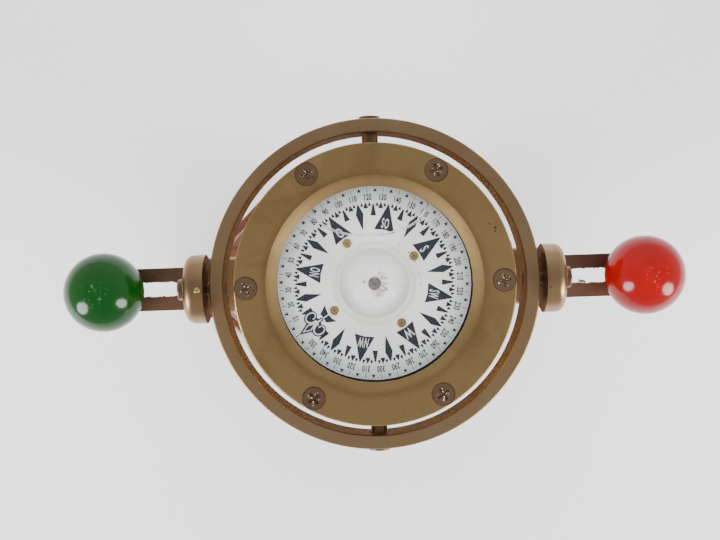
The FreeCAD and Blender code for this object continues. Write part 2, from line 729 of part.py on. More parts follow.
def make_card():
    screw_spots = [spot.multVec(V(0, card_screw_circle, 0)) for spot in
                   (FreeCAD.Rotation(Z_AXIS, 90 * k) for k in range(4))]
    carrier_z = card_under - carrier_thick
    shanks = [rod(card_screw_r + thread_gap, V(p.x, p.y, carrier_z), V(p.x, p.y, card_top))
              for p in screw_spots]
    save_card("card_disc", tube(card_hole_r, card_r, card_under, card_top).cut(shanks))

    screws = []
    for p in screw_spots:
        head_top = card_top + card_screw_head
        head = disc(card_screw_head_r, card_top, head_top)
        head = head.makeFillet(0.5, edges_at(head, head_top))
        head = head.cut(slot_cut(card_screw_slot, 3 * card_screw_head_r, card_screw_head / 2, head_top))
        screws.append(head.fuse(disc(card_screw_r, carrier_z, card_top)).translated(p))
    save_card("card_screws", *screws)

    tube_r = magnet_r + magnet_skin
    magnet_z = carrier_z - saddle_roof - tube_r
    carrier = tube(float_flange_r + seat_gap, carrier_r_out, carrier_z, card_under)
    tubes, magnets = [], []
    for x in (-magnet_offset, magnet_offset):
        saddle_half = carrier_r_out - 2
        saddle = Part.makeBox(saddle_width, 2 * saddle_half, carrier_z - magnet_z,
                              V(x - saddle_width / 2, -saddle_half, magnet_z))
        carrier = carrier.fuse(saddle)
    for x in (-magnet_offset, magnet_offset):
        half = magnet_length / 2
        core = rod(magnet_r, V(x, -half, magnet_z), V(x, half, magnet_z))
        shell = rod(tube_r, V(x, -half - 1, magnet_z), V(x, half + 1, magnet_z))
        carrier = carrier.cut(shell)
        tubes.append(shell.cut(core))
        magnets.append(core)
    save_card("magnet_carrier", carrier.cut(shanks))
    save_card("magnet_tubes", *tubes)
    save_card("magnets", *magnets)


def make_float():
    inner_sphere = dome_sphere_r - dome_skin
    hole = cap_neck_r + thread_gap
    base_drop = dome_centre - card_top
    flange_top_z = card_top + dome_skin

    def radius_at(sphere, z):
        return math.sqrt(sphere ** 2 - (z - dome_centre) ** 2)

    def mid(sphere, r_from, r_to):
        r = (r_from + r_to) / 2
        return r, sphere_height(sphere, r)
    skirt_r = radius_at(dome_sphere_r, flange_top_z)
    base_r = math.sqrt(inner_sphere ** 2 - base_drop ** 2)
    dome = turned((float_flange_r, card_top), (float_flange_r, flange_top_z),
                  (skirt_r, flange_top_z),
                  (*mid(dome_sphere_r, skirt_r, hole), hole, sphere_height(dome_sphere_r, hole)),
                  (hole, sphere_height(inner_sphere, hole)),
                  (*mid(inner_sphere, hole, base_r), base_r, card_top))
    save_card("float_dome", dome)

    tube_in = float_tube_r - float_tube_wall
    base = disc(float_flange_r, card_under - dome_skin, card_under)
    base = base.fuse(disc(float_tube_r, card_under, sphere_height(inner_sphere, float_tube_r)))
    save_card("float_base", base.cut(disc(tube_in, card_under - dome_skin, card_top + dome_height)))

    seat = cap_seat()
    neck_end = jewel_bottom()
    knob_top = seat + cap_knob_height
    cap = disc(cap_knob_r, seat, knob_top)
    cap = cap.makeFillet(0.3, edges_at(cap, knob_top))
    cap = cap.cut(slot_cut(cap_slot, 4 * cap_knob_r, cap_knob_height / 2, knob_top))
    cap = cap.fuse(disc(cap_neck_r, neck_end, seat))
    save_card("pivot_cap", cap.cut(disc(jewel_r, neck_end, neck_end + jewel_thick)))
    jewel = disc(jewel_r, neck_end, neck_end + jewel_thick)
    dimple = Part.makeCone(1.5 * jewel_dimple, 0, jewel_dimple, V(0, 0, neck_end), Z_AXIS)
    save_card("pivot_jewel", jewel.cut(dimple))


def main():
    os.makedirs("parts", exist_ok=True)
    wood_screws = around(make_wood_screw().translated(V(wood_screw_circle, 0, 0)), 4, 45)
    save("column_screws", *wood_screws)
    make_base(wood_screws)
    make_column(wood_screws)
    make_tie_rod()

    arm_screws = {name: make_arm_screws(side) for name, side in SIDES.items()}
    make_yoke(arm_screws["left"] + arm_screws["right"], make_lock_screw())
    for name, side in SIDES.items():
        save("trunnion_screw_" + name, make_trunnion(side))
        save("arm_screws_" + name, *arm_screws[name])
        save("arm_" + name, make_arm(side, arm_screws[name]))
        make_ball(name, side)

    make_ring()
    bezel_holes = make_glass_and_bezel()
    floor_holes = make_bottom() + make_pivot()
    make_bowl(bezel_holes, floor_holes, make_filler())
    for name, end in ENDS.items():
        make_bowl_trunnion(name, end)
    make_card()
    make_float()


main()
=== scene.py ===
import json
import math
import random

import bmesh
import bpy
from mathutils import Matrix, Vector


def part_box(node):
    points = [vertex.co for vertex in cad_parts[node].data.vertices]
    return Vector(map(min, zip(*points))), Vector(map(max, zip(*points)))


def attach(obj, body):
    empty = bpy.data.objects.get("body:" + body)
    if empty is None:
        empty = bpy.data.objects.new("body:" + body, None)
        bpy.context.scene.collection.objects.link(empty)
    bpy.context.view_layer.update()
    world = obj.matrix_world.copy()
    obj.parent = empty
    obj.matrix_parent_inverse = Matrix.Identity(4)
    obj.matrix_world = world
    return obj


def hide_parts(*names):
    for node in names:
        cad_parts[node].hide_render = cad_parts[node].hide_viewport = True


# Looks of the binnacle compass. Metres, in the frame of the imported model.

MM = 0.001
NORTH_TURN = math.radians(122.7)     # the stored card's north, counter-clockwise from +Y
HEAD_R = 5.65 * MM                   # heads of the bezel screws
HEAD_MARGIN = 0.55 * MM              # from a head to the bezel's outer edge
BEVEL_LIMIT = 57 * MM                # the bevel's top edge lies inside this radius

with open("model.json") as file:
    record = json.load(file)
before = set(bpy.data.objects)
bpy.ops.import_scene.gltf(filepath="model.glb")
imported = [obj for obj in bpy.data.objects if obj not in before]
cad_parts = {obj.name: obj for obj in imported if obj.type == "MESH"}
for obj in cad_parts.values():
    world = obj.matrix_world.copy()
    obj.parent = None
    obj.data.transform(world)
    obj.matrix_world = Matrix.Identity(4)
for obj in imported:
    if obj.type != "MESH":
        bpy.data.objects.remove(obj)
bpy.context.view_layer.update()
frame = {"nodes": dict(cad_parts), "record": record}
nodes = frame["nodes"]

card_low, card_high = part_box("card_disc")
ring_low, ring_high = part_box("gimbal_ring")
bezel_low, bezel_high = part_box("bezel_ring")
glass_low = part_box("top_glass")[0]
screw_circle = (bezel_high[0] - bezel_low[0]) / 2 - HEAD_R - HEAD_MARGIN
screw_spots = [(screw_circle * math.cos(math.radians(60 * k)), screw_circle * math.sin(math.radians(60 * k)))
               for k in range(6)]
pivot = Vector((0, 0, (ring_low[2] + ring_high[2]) / 2))
card_z = card_high[2]
card_r = (card_high[0] - card_low[0]) / 2


def turns(count):
    """Angles of a full turn, in equal steps."""
    return [math.tau * k / count for k in range(count)]


def arc(x, y, radius, start, sweep, steps):
    """Points on a circle, from a start angle through a sweep, both in degrees."""
    angles = [math.radians(start + sweep * k / steps) for k in range(steps + 1)]
    return [(x + radius * math.cos(angle), y + radius * math.sin(angle)) for angle in angles]


# ---------------------------------------------------------------- materials

class Paint:
    """A node material round one Principled shader, with short names for the nodes that it uses."""

    def __init__(self, name, **sockets):
        self.material = bpy.data.materials.new(name)
        self.material.use_nodes = True
        self.tree = self.material.node_tree
        self.shader = self.tree.nodes["Principled BSDF"]
        self.place = self.tree.nodes.new("ShaderNodeTexCoord").outputs["Object"]
        for socket, value in sockets.items():
            self.shader.inputs[socket.replace("_", " ")].default_value = value

    @classmethod
    def of(cls, material):
        """The same helper round a material that was made before."""
        paint = cls.__new__(cls)
        paint.material, paint.tree = material, material.node_tree
        paint.shader = paint.tree.nodes["Principled BSDF"]
        paint.place = paint.tree.nodes.new("ShaderNodeTexCoord").outputs["Object"]
        return paint

    def node(self, kind, inputs=None, **settings):
        made = self.tree.nodes.new("ShaderNode" + kind)
        for key, value in settings.items():
            setattr(made, key, value)
        for key, value in (inputs or {}).items():
            if isinstance(value, bpy.types.NodeSocket):
                self.tree.links.new(value, made.inputs[key])
            else:
                made.inputs[key].default_value = value
        return made

    def scaled(self, scale, place=None):
        """The place, stretched by one number each way."""
        return self.node("Mapping", {"Vector": place or self.place, "Scale": scale}).outputs[0]

    def noise(self, scale, detail=3.0, place=None, rough=0.55, distortion=0.0):
        inputs = {"Vector": place or self.place, "Scale": scale, "Detail": detail,
                  "Roughness": rough, "Distortion": distortion}
        return self.node("TexNoise", inputs).outputs["Fac"]

    def math(self, operation, a, b=0.0):
        return self.node("Math", {0: a, 1: b}, operation=operation).outputs[0]

    def times(self, a, b):
        return self.math("MULTIPLY", a, b)

    def steps(self, value, low, high, low_to=0.0, high_to=1.0):
        """Value carried from one range to another, and held at its ends."""
        inputs = {"Value": value, "From Min": low, "From Max": high, "To Min": low_to, "To Max": high_to}
        return self.node("MapRange", inputs).outputs[0]

    def mix(self, amount, a, b):
        """Colour a carried towards colour b."""
        made = self.node("Mix", data_type="RGBA")
        for index, value in ((0, amount), (6, a), (7, b)):
            if isinstance(value, bpy.types.NodeSocket):
                self.tree.links.new(value, made.inputs[index])
            else:
                made.inputs[index].default_value = value
        return made.outputs[2]

    def radius(self, centre=(0, 0, 0), flat=(1, 1, 0)):
        """Distance from a line through the centre, along the axis that flat leaves out."""
        away = self.node("VectorMath", {0: self.place, 1: centre}, operation="SUBTRACT").outputs[0]
        flattened = self.node("VectorMath", {0: away, 1: flat}, operation="MULTIPLY").outputs[0]
        return self.node("VectorMath", {0: flattened}, operation="LENGTH").outputs["Value"]

    def along(self, axis):
        return self.node("SeparateXYZ", {0: self.place}).outputs[axis]

    def set(self, socket, value):
        self.tree.links.new(value, self.shader.inputs[socket])

    def bump(self, height, depth, strength=1.0):
        inputs = {"Height": height, "Distance": depth, "Strength": strength}
        self.set("Normal", self.node("Bump", inputs).outputs[0])


def colour(red, green, blue):
    return (red, green, blue, 1.0)


def shaded(tone, share):
    """A colour made lighter or darker by one share."""
    return colour(*[part * share for part in tone[:3]])


def brass(name, light, dark, roughness=0.36, turned_about=None, flat=(1, 1, 0), specks=0.62):
    """Aged lacquered brass: mottling, fine scratches, dark specks and, if it was turned, tool rings."""
    paint = Paint(name, Metallic=1.0)
    clouds = paint.noise(38, 5)
    base = paint.mix(paint.steps(clouds, 0.32, 0.7), dark, light)
    patches = paint.noise(11, 4, distortion=0.8)
    base = paint.mix(paint.steps(patches, 0.5, 0.75, 0.0, 0.35), base, shaded(light, 1.25))
    fine = paint.noise(420, 4)
    base = paint.mix(paint.steps(fine, specks, specks + 0.1, 0.0, 0.75), base, shaded(dark, 0.30))
    paint.set("Base Color", base)
    scratches = paint.noise(1, 2, paint.scaled((300, 2400, 900)))
    height = paint.math("ADD", paint.times(fine, 0.5), paint.times(scratches, 0.5))
    if turned_about is not None:
        outwards = paint.node("CombineXYZ", {0: paint.radius(turned_about, flat)}).outputs[0]
        rings = paint.noise(2600, 2, outwards)
        height = paint.math("ADD", height, paint.times(rings, 0.8))
    paint.bump(height, 0.04 * MM, 0.5)
    rough = paint.math("ADD", paint.steps(clouds, 0.3, 0.7, roughness + 0.07, roughness - 0.05),
                       paint.steps(scratches, 0.45, 0.75, 0.0, 0.06))
    paint.set("Roughness", rough)
    return paint.material


def bezel_look():
    """Satin olive-brown brass: browner along the foot of the bevel, pale rubbed spots and three pits."""
    material = brass("bezel_brass_look", BRASS_LIGHT, BRASS_DARK, 0.40, (0, 0, 0), specks=0.70)
    paint = Paint.of(material)
    base = paint.shader.inputs["Base Color"].links[0].from_socket
    away = paint.radius()
    wobble = paint.times(paint.math("SUBTRACT", paint.noise(55, 3), 0.5), 4.0 * MM)
    away = paint.math("ADD", away, wobble)
    foot = paint.times(paint.steps(away, bevel_r - 2.2 * MM, bevel_r + 0.2 * MM),
                      paint.steps(away, bevel_r + 0.4 * MM, bevel_r + 3.8 * MM, 1.0, 0.0))
    base = paint.mix(paint.times(foot, 0.5), base, colour(0.205, 0.115, 0.050))
    slope = paint.steps(away, bevel_r - 3.0 * MM, bevel_r - 1.0 * MM, 1.0, 0.0)
    base = paint.mix(paint.times(slope, 0.5), base, colour(0.33, 0.225, 0.105))
    rubbed = paint.steps(paint.noise(75, 4, distortion=0.5), 0.60, 0.70)
    base = paint.mix(paint.times(rubbed, 0.35), base, colour(0.36, 0.26, 0.125))
    brown = paint.steps(paint.noise(24, 5, distortion=1.2), 0.54, 0.70)
    base = paint.mix(paint.times(brown, 0.45), base, colour(0.185, 0.115, 0.050))
    for x, y, size in PITS:
        pit = paint.steps(paint.radius((x * MM, y * MM, 0)), size * 0.4 * MM, size * MM, 1.0, 0.0)
        base = paint.mix(paint.times(pit, 0.9), base, colour(0.03, 0.02, 0.012))
    paint.set("Base Color", base)
    return material


def gloss_paint(name, base, pale, centre):
    """Gloss paint over a turned ball: tool rings about the vertical, and small marks near the top."""
    paint = Paint(name, Coat_Weight=0.15, Coat_Roughness=0.04, Specular_IOR_Level=0.22)
    rings = paint.noise(900, 2, paint.node("CombineXYZ", {0: paint.radius(centre)}).outputs[0])
    runs = paint.noise(26, 3, paint.scaled((1, 1, 2.2)))
    marks = paint.noise(620, 4)
    near_top = paint.steps(paint.radius(centre), 2.0 * MM, 8.0 * MM, 1.0, 0.0)
    wear_and_shade = paint.times(paint.steps(marks, 0.58, 0.66), near_top)
    body = paint.mix(paint.steps(runs, 0.3, 0.75), base, shaded(base, 0.72))
    paint.set("Base Color", paint.mix(paint.times(wear_and_shade, 0.45), body, pale))
    paint.set("Roughness", paint.steps(rings, 0.3, 0.7, 0.12, 0.20))
    height = paint.math("ADD", paint.times(rings, 0.5), paint.times(runs, 3.0))
    paint.bump(paint.math("SUBTRACT", height, paint.times(wear_and_shade, 1.5)), 0.10 * MM, 0.6)
    return paint.material


def varnished_wood():
    """Red-brown wood with its grain along X, under a glossy varnish."""
    paint = Paint("varnished_wood_look", Coat_Weight=0.7, Coat_Roughness=0.08, Roughness=0.42,
                  Specular_IOR_Level=0.3)
    long_way = paint.scaled((6, 60, 60))
    grain = paint.noise(4, 6, long_way, 0.6, 0.9)
    pores = paint.noise(26, 4, long_way, 0.7)
    bands = paint.node("TexWave", {"Vector": paint.scaled((2, 14, 14)), "Scale": 3.0, "Distortion": 7.0,
                                   "Detail": 3.0, "Detail Scale": 1.4}, bands_direction="Y").outputs["Fac"]
    dark, light = colour(0.060, 0.016, 0.007), colour(0.185, 0.055, 0.020)
    base = paint.mix(paint.steps(grain, 0.35, 0.7), dark, light)
    base = paint.mix(paint.steps(bands, 0.2, 0.9, 0.0, 0.55), base, colour(0.110, 0.028, 0.011))
    base = paint.mix(paint.steps(pores, 0.58, 0.72, 0.0, 0.7), base, colour(0.024, 0.008, 0.004))
    paint.set("Base Color", base)
    paint.bump(paint.math("ADD", pores, paint.times(grain, 2.0)), 0.12 * MM, 0.35)
    return paint.material


def rubber(name, shade):
    """Matt black rubber, a little uneven."""
    paint = Paint(name, Specular_IOR_Level=0.35)
    fine = paint.noise(900, 3)
    paint.set("Base Color", paint.mix(paint.noise(60, 3), colour(shade, shade, shade),
                                      colour(shade * 1.8, shade * 1.7, shade * 1.6)))
    paint.set("Roughness", paint.steps(fine, 0.3, 0.7, 0.62, 0.82))
    paint.bump(fine, 0.08 * MM, 0.5)
    return paint.material


def card_white(name, light, shade):
    """Off-white enamel, greyed towards the rim by painted shade where the bezel overhangs it."""
    paint = Paint(name, Specular_IOR_Level=0.35)
    rim = paint.steps(paint.radius(), card_r * 0.72, card_r * 0.98)
    soft = paint.noise(45, 4)
    base = paint.mix(paint.steps(soft, 0.3, 0.75, 0.0, 0.5), light, shaded(light, 0.93))
    # painted shade: the card greyed towards its rim, where the bezel shades it
    paint.set("Base Color", paint.mix(rim, base, shade))
    paint.set("Roughness", paint.steps(soft, 0.3, 0.7, 0.38, 0.5))
    paint.bump(paint.noise(500, 2), 0.03 * MM, 0.3)
    return paint.material


def dome_white():
    """Milky float with rust that has crept out from round the pivot cap."""
    paint = Paint("dome_white_look", Roughness=0.3)
    away = paint.radius()
    angle = paint.math("ARCTAN2", paint.along("Y"), paint.along("X"))
    fan = paint.node("CombineXYZ", {0: paint.times(angle, 5.0), 1: paint.times(away, 240.0)}).outputs[0]
    streaks = paint.noise(1.0, 5, fan, 0.75, 0.4)
    reach = paint.steps(streaks, 0.35, 0.65, 5.0 * MM, 9.5 * MM)
    ring = paint.times(paint.steps(away, 3.4 * MM, 4.0 * MM),
                       paint.steps(paint.math("SUBTRACT", away, reach), -2.2 * MM, 0.0, 1.0, 0.0))
    right_hand = paint.node("VectorMath", {0: paint.place, 1: (1.0, -0.25, 0)}, operation="DOT_PRODUCT")
    side = paint.steps(right_hand.outputs["Value"], -1.2 * MM, 3.0 * MM)
    rust = paint.times(paint.times(paint.steps(streaks, 0.44, 0.56), ring), side)
    spot_r = paint.radius((-5.4 * MM, 1.2 * MM, 0))
    spot = paint.times(paint.steps(spot_r, 0.4 * MM, 1.2 * MM, 1.0, 0.0), paint.steps(streaks, 0.25, 0.45))
    blot_r = paint.radius((-6.5 * MM, 3.0 * MM, 0))
    blot = paint.times(paint.steps(blot_r, 1.0 * MM, 6.5 * MM, 1.0, 0.0),
                       paint.steps(paint.noise(170, 4), 0.44, 0.62))
    wide = paint.steps(away, 4.0 * MM, 11.5 * MM, 0.3, 0.0)
    edge = paint.steps(away, 17.8 * MM, 19.2 * MM)
    base = paint.mix(paint.noise(60, 3), colour(0.84, 0.85, 0.835), colour(0.90, 0.90, 0.88))
    base = paint.mix(edge, base, colour(0.80, 0.79, 0.71))
    base = paint.mix(paint.times(wide, paint.noise(240, 4)), base, colour(0.66, 0.56, 0.42))
    base = paint.mix(paint.times(blot, 0.35), base, colour(0.62, 0.50, 0.30))
    base = paint.mix(paint.times(spot, 0.8), base, colour(0.30, 0.13, 0.06))
    paint.set("Base Color", paint.mix(paint.times(rust, 0.95), base, colour(0.10, 0.036, 0.012)))
    paint.bump(paint.noise(300, 3), 0.03 * MM, 0.3)
    return paint.material


def ink(name, dark, light):
    """Matt colour for printing inks, paler in places from wear; also for the painted shade at the screws."""
    paint = Paint(name, Specular_IOR_Level=0.1)
    wear = paint.noise(260, 4)
    paint.set("Base Color", paint.mix(paint.steps(wear, 0.35, 0.8), dark, light))
    paint.set("Roughness", paint.steps(wear, 0.3, 0.7, 0.4, 0.6))
    return paint.material


def grey_metal(name, dark, light, roughness=0.42):
    """Dull metal in two blotchy shades."""
    paint = Paint(name, Metallic=0.85)
    blotches = paint.noise(420, 4)
    paint.set("Base Color", paint.mix(paint.steps(blotches, 0.35, 0.65), dark, light))
    paint.set("Roughness", paint.steps(blotches, 0.3, 0.7, roughness, roughness + 0.2))
    paint.bump(blotches, 0.06 * MM, 0.6)
    return paint.material


def clear_glass(name, tint):
    """Thin clear pane: mostly see-through, with a reflection that grows towards grazing."""
    paint = Paint(name)
    tree = paint.tree
    tree.nodes.remove(paint.shader)
    smudge = paint.noise(30, 4)
    through = paint.node("BsdfTransparent", {"Color": colour(tint, tint, tint)})
    rough = paint.steps(smudge, 0.4, 0.8, 0.01, 0.05)
    gloss = paint.node("BsdfGlossy", {"Color": colour(1, 1, 1), "Roughness": rough})
    facing = paint.node("LayerWeight", {"Blend": 0.5}).outputs["Facing"]
    mirrored = paint.steps(paint.math("POWER", facing, 5.0), 0.0, 1.0, 0.035, 1.0)
    both = paint.node("MixShader", {0: mirrored, 1: through.outputs[0], 2: gloss.outputs[0]})
    tree.links.new(both.outputs[0], tree.nodes["Material Output"].inputs["Surface"])
    return paint.material


BRASS_LIGHT, BRASS_DARK = colour(0.345, 0.235, 0.105), colour(0.265, 0.172, 0.072)
# pits in the bezel: x, y and radius in millimetres
PITS = ((60.0, 26.0, 0.75), (59.9, 24.3, 0.55), (57.2, 28.0, 0.5), (-50.5, -41.0, 0.35), (12.0, -63.5, 0.3))
bezel_top = [v.co for v in nodes["bezel_ring"].data.vertices if v.co.z > bezel_high[2] - 0.01 * MM]
bevel_r = max(math.hypot(spot.x, spot.y) for spot in bezel_top if math.hypot(spot.x, spot.y) < BEVEL_LIMIT)
looks = {
    "pad_rubber": rubber("pad_rubber_look", 0.022),
    "seal_rubber": rubber("seal_rubber_look", 0.014),
    "varnished_wood": varnished_wood(),
    "column_brass": brass("column_brass_look", colour(0.36, 0.23, 0.10), colour(0.22, 0.125, 0.05), 0.24,
                          (0, 0, 0), (0, 0, 1)),
    "yoke_brass": brass("yoke_brass_look", colour(0.32, 0.21, 0.11), colour(0.22, 0.135, 0.07), 0.31,
                        specks=0.68),
    "ring_brass": brass("ring_brass_look", colour(0.35, 0.235, 0.130), colour(0.27, 0.172, 0.090), 0.36,
                        (0, 0, 0), specks=0.68),
    "bezel_brass": bezel_look(),
    "bezel_screw_brass": brass("bezel_screw_look", colour(0.26, 0.165, 0.10), colour(0.17, 0.10, 0.058)),
    "bowl_brass": brass("bowl_brass_look", colour(0.30, 0.19, 0.09), colour(0.19, 0.11, 0.05), 0.33,
                        (0, 0, 0), (0, 0, 1)),
    "arm_bronze": brass("arm_bronze_look", colour(0.27, 0.150, 0.095), colour(0.19, 0.105, 0.070), 0.42,
                        specks=0.66),
    "pivot_brass": brass("pivot_brass_look", colour(0.20, 0.125, 0.072), colour(0.12, 0.070, 0.042), 0.34),
    "screw_brass": brass("screw_brass_look", colour(0.80, 0.62, 0.25), colour(0.56, 0.41, 0.15), 0.30),
    "bush_bronze": brass("bush_bronze_look", colour(0.22, 0.125, 0.06), colour(0.13, 0.072, 0.036), 0.34),
    # second colour: painted shade that greys the card towards its rim
    "card_white": card_white("card_white_look", colour(0.90, 0.91, 0.89), colour(0.58, 0.64, 0.66)),
    "dome_white": dome_white(),
    "cap_metal": grey_metal("cap_metal_look", colour(0.16, 0.15, 0.14), colour(0.34, 0.33, 0.31)),
    "point_steel": grey_metal("point_steel_look", colour(0.30, 0.30, 0.30), colour(0.5, 0.5, 0.5), 0.3),
    "magnet_steel": grey_metal("magnet_steel_look", colour(0.10, 0.10, 0.11), colour(0.2, 0.2, 0.21), 0.4),
    "jewel": grey_metal("jewel_look", colour(0.20, 0.01, 0.02), colour(0.34, 0.02, 0.04), 0.1),
    "clear_glass": clear_glass("clear_glass_look", 0.995),
}
for side, base, pale in (("left", colour(0.0012, 0.045, 0.003), colour(0.12, 0.24, 0.13)),
                         ("right", colour(0.26, 0.0008, 0.0008), colour(0.50, 0.10, 0.08))):
    low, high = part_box("corrector_ball_" + side)
    centre = ((low[0] + high[0]) / 2, 0, 0)
    slot_name = "green_paint" if side == "left" else "red_paint"
    looks[slot_name] = gloss_paint(slot_name + "_look", base, pale, centre)

for part in frame["record"]["subparts"]:
    mesh = nodes[part["node"]].data
    mesh.materials.clear()
    mesh.materials.append(looks[part["material_slot"]])

navy = ink("navy_ink", colour(0.006, 0.008, 0.018), colour(0.016, 0.021, 0.036))
black = ink("black_ink", colour(0.008, 0.009, 0.012), colour(0.030, 0.032, 0.038))
# painted shade: dark colour for the cross and the ring round each card screw head
wear_and_shade = ink("screw_shadow", colour(0.035, 0.022, 0.008), colour(0.10, 0.065, 0.02))
white = ink("white_ink", colour(0.62, 0.63, 0.62), colour(0.70, 0.71, 0.69))


# ---------------------------------------------------------------- making pieces

def add_piece(name, mesh, look, body):
    """Puts a mesh in the scene as a piece that rides on a body."""
    piece = bpy.data.objects.new(name, mesh)
    bpy.context.scene.collection.objects.link(piece)
    mesh.materials.clear()
    mesh.materials.append(look)
    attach(piece, body)
    return piece


def mesh_from(bm, name, smooth=False):
    """Turns a bmesh into a mesh with its faces outwards, and frees it."""
    mesh = bpy.data.meshes.new(name)
    bmesh.ops.recalc_face_normals(bm, faces=bm.faces)
    bm.to_mesh(mesh)
    bm.free()
    mesh.polygons.foreach_set("use_smooth", [smooth] * len(mesh.polygons))
    return mesh


def prism(bm, outline, low, high):
    """Adds a flat-topped solid over a closed outline of (x, y) points."""
    bottom = [bm.verts.new((x, y, low)) for x, y in outline]
    top = [bm.verts.new((x, y, high)) for x, y in outline]
    bm.faces.new(bottom[::-1])
    bm.faces.new(top)
    for k in range(len(outline)):
        n = (k + 1) % len(outline)
        bm.faces.new((bottom[k], bottom[n], top[n], top[k]))


# ---------------------------------------------------------------- the card's print, and painted shade at its screws

INK_LOW, INK_HIGH = card_z + 0.02 * MM, card_z + 0.07 * MM
OVER_LOW, OVER_HIGH = card_z + 0.08 * MM, card_z + 0.12 * MM
# distances from the card's centre, in millimetres
NUMBER_R, WIND_R, CARD_SCREW_R, DOT_R = 44.3, 31.0, 24.8, 23.8
CURL_X, CURL_Y = 3.9, 36.6           # middle of a rolled petal: across and outwards, in millimetres


def heading_axes(heading):
    """Unit vectors of the stored card at a heading: to its right and outwards."""
    angle = NORTH_TURN - math.radians(heading)
    return Vector((math.cos(angle), math.sin(angle))), Vector((-math.sin(angle), math.cos(angle)))


def on_card(heading, points):
    """(across, outward) points in millimetres at a heading, as points on the card."""
    right, out = heading_axes(heading)
    return [tuple((right * across + out * outward) * MM) for across, outward in points]


def wedge(tip_r, base_r, tip_half, base_half, sag=0.0):
    """Narrow triangle with its tip outwards; sag hollows its base towards the tip."""
    return [(-base_half, base_r), (-tip_half, tip_r), (tip_half, tip_r), (base_half, base_r),
            (0, base_r + sag)]


def printed(name, shapes, look, low=INK_LOW, high=INK_HIGH):
    """Flat shapes on the card as one piece, for print and for painted shade; shapes holds (heading, points in
    mm).
    """
    bm = bmesh.new()
    for heading, points in shapes:
        prism(bm, on_card(heading, points), low, high)
    return add_piece(name, mesh_from(bm, name), look, "card")


def make_rose():
    """Main winds, half winds, quarter winds and the small teeth between them."""
    main = [(45 * k, wedge(41.4, 27.4, 0.15, 5.2, 0.6)) for k in range(1, 8)]
    diamond = [(0, 27.6), (-2.0, 36.2), (-0.25, 41.2), (0.25, 41.2), (2.0, 36.2)]
    half = [(22.5 + 45 * k, diamond) for k in range(8)]
    quarter = [(11.25 + 22.5 * k, wedge(40.8, 34.9, 0.35, 1.45)) for k in range(16)]
    teeth = []
    for k in range(32):
        for part, reach, half_width in ((0.25, 2.1, 0.85), (0.5, 3.2, 1.35), (0.75, 2.1, 0.85)):
            heading = 11.25 * (k + part)
            if 9 < heading < 351:
                teeth.append((heading, wedge(42.0, 42.0 - reach, 0.05, half_width)))
    printed("card_rose", main + half + quarter + teeth, navy)


def make_scale():
    """Degree ring at the rim: a long tick each ten degrees, a dart between, and fine ticks."""
    ticks = []
    for degree in range(0, 360, 2):
        if degree % 10:
            ticks.append((degree, [(-0.09, 48.4), (-0.09, 49.4), (0.09, 49.4), (0.09, 48.4)]))
    for ten in range(0, 360, 10):
        ticks.append((ten, [(-0.15, 46.9), (-0.15, 49.4), (0.15, 49.4), (0.15, 46.9)]))
        ticks.append((ten + 5, wedge(49.1, 47.3, 0.1, 1.0)))
    printed("card_scale", ticks, black)


def words(text, size, squeeze, weight, spread):
    """Flat solid letters of the built-in font, centred on the origin, as a mesh."""
    curve = bpy.data.curves.new("words", "FONT")
    curve.body = text
    curve.size = size
    curve.offset = weight
    curve.extrude = 0.5
    curve.space_character = spread
    curve.resolution_u = 3
    curve.align_x = "CENTER"
    curve.align_y = "CENTER"
    holder = bpy.data.objects.new("words", curve)
    bpy.context.scene.collection.objects.link(holder)
    bpy.context.view_layer.update()
    made = bpy.data.meshes.new_from_object(holder)
    bpy.data.objects.remove(holder)
    bpy.data.curves.remove(curve)
    made.transform(Matrix.Diagonal((squeeze, 1, 1, 1)))
    return made


def lettering(name, labels, look, low, high):
    """labels holds (text, heading, radius in mm, size in mm, squeeze, weight, letter spacing)."""
    bm = bmesh.new()
    for text, heading, radius, size, squeeze, weight, spread in labels:
        letters = words(text, size * MM, squeeze, weight * MM, spread)
        right, out = heading_axes(heading)
        spot = out * radius * MM
        letters.transform(Matrix(((right.x, out.x, 0, spot.x), (right.y, out.y, 0, spot.y),
                                  (0, 0, high - low, (low + high) / 2), (0, 0, 0, 1))))
        bm.from_mesh(letters)
        bpy.data.meshes.remove(letters)
    bmesh.ops.remove_doubles(bm, verts=bm.verts, dist=0.001 * MM)
    return add_piece(name, mesh_from(bm, name), look, "card")


def ribbon(points, widths):
    """Outline of a stroke that follows points and has a width at each."""
    left, right = [], []
    for k, (x, y) in enumerate(points):
        before, after = points[max(k - 1, 0)], points[min(k + 1, len(points) - 1)]
        dx, dy = after[0] - before[0], after[1] - before[1]
        length = math.hypot(dx, dy)
        nx, ny = -dy / length * widths[k] / 2, dx / length * widths[k] / 2
        left.append((x + nx, y + ny))
        right.append((x - nx, y - ny))
    return left + right[::-1]


def curl(side, count=21):
    """Centre line and widths of a side petal: up from the knot, outwards, and rolled in on itself."""
    points, widths = [], []
    for k in range(count):
        t = k / (count - 1)
        angle = math.radians(215 - 400 * t)
        radius = 3.1 - 1.75 * t
        points.append((side * (CURL_X + radius * math.cos(angle)), CURL_Y + 1.3 * radius * math.sin(angle)))
        widths.append(2.5 - 0.9 * t)
    return points, widths


